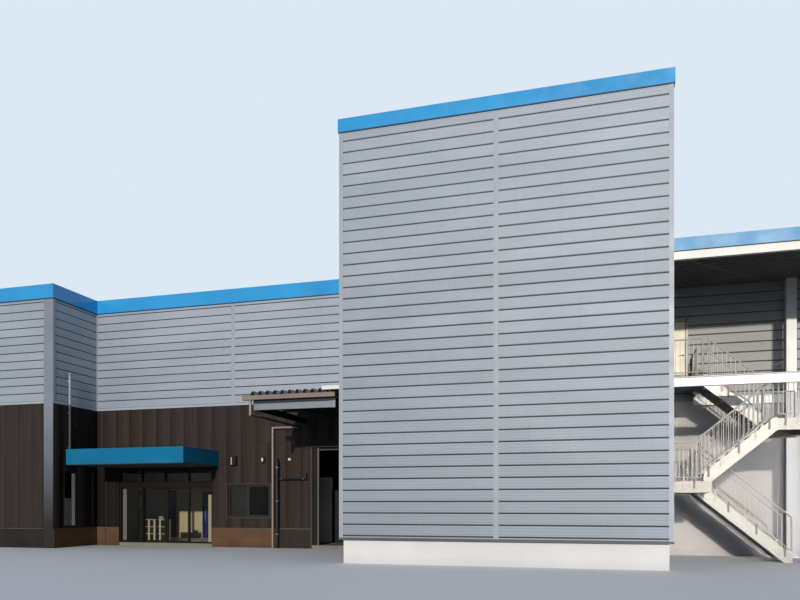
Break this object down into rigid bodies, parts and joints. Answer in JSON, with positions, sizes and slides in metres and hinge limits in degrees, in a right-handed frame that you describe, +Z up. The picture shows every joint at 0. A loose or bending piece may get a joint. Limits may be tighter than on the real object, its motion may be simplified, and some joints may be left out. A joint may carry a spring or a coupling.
{
  "type": "factory building",
  "caption": "Factory building with a clad tower beside a low main block, a glazed sliding entrance, a folded-plate loading canopy and an open gallery with a dogleg steel stair.",
  "frame": {"origin": "bottom centre of the building's box, on the ground", "axes": "+X along the front to the right, +Y from the front into the depth, +Z up"},
  "size_m": [33.62, 18.055, 11.96],
  "materials": {
    "siding": "silver-grey ribbed metal siding, satin",
    "blue_trim": "blue coated sheet, satin",
    "white_render": "white rendered wall, matt",
    "brown_board": "dark brown fibre-cement boards, matt",
    "base_render": "red-brown rendered base, matt",
    "concrete": "power-floated concrete",
    "roof_sheet": "grey roof sheet, matt",
    "bronze_frame": "dark bronze anodised",
    "clear_glass": "clear float glass",
    "canopy_blue": "deep blue coated sheet, satin",
    "galvanised": "galvanised steel",
    "white_steel": "white painted steel",
    "beige_pipe": "copper-beige coated sheet",
    "white_pipe": "white pipe",
    "cream_door": "cream painted steel door",
    "cream_board": "cream painted partition",
    "rack_board": "cream faced board",
    "black_lamp": "black plastic of the lamps and the cable pipe"
  },
  "bodies": {
    "building": {"tower_plinth": "white_render", "tower_front_wall": "siding", "tower_left_wall": "siding", "tower_right_wall": "siding", "tower_back_wall": "siding", "tower_roof": "roof_sheet", "tower_cap": "blue_trim", "front_upper_wall": "siding", "front_left_wall": "brown_board", "front_middle_wall": "brown_board", "over_entrance_wall": "brown_board", "over_loading_wall": "brown_board", "loading_jamb_wall": "brown_board", "wing_front_wall": "siding", "wing_side_upper_wall": "siding", "wing_side_lower_wall": "brown_board", "left_end_wall": "siding", "back_wall": "siding", "right_end_wall": "siding", "gallery_upper_wall": "siding", "gallery_lower_wall": "white_render", "base_course": "base_render", "wing_base_course": "base_render", "main_roof": "roof_sheet", "main_cap": "blue_trim", "ground_floor": "concrete", "upper_floor": "concrete", "entrance_frame": "bronze_frame", "entrance_canopy": "canopy_blue", "lobby_walls": "cream_board", "shoe_rack": "rack_board", "window_frames": "bronze_frame", "fixed_glass": "clear_glass", "loading_deck": "galvanised", "loading_steel": "galvanised", "loading_gutter": "beige_pipe", "loading_flashing": "white_steel", "shutter_frame": "bronze_frame", "downpipe": "beige_pipe", "vent_pipe": "white_pipe", "cable_pipe": "black_lamp", "wall_lights": "black_lamp", "gallery_roof": "roof_sheet", "gallery_fascia": "blue_trim", "gallery_beams": "white_steel", "gallery_columns": "white_steel", "gallery_floor": "galvanised", "upper_door": "cream_door", "lower_flight": "galvanised", "middle_flight": "galvanised", "upper_flight": "galvanised", "stair_landings": "galvanised", "stair_railings": "galvanised", "gallery_railings": "galvanised"},
    "left_leaf": {"door_left_frame": "bronze_frame", "door_left_glass": "clear_glass"},
    "right_leaf": {"door_right_frame": "bronze_frame", "door_right_glass": "clear_glass"}
  },
  "joints": [
    {"name": "entrance_door_left", "type": "slide", "parent": "building", "child": "left_leaf", "axis": [-1, 0, 0], "range_m": [0, 0.98]},
    {"name": "entrance_door_right", "type": "slide", "parent": "building", "child": "right_leaf", "axis": [1, 0, 0], "range_m": [0, 0.98]}
  ],
  "couplings": [
    {"joint": "entrance_door_right", "follows": "entrance_door_left", "ratio": 1}
  ]
}
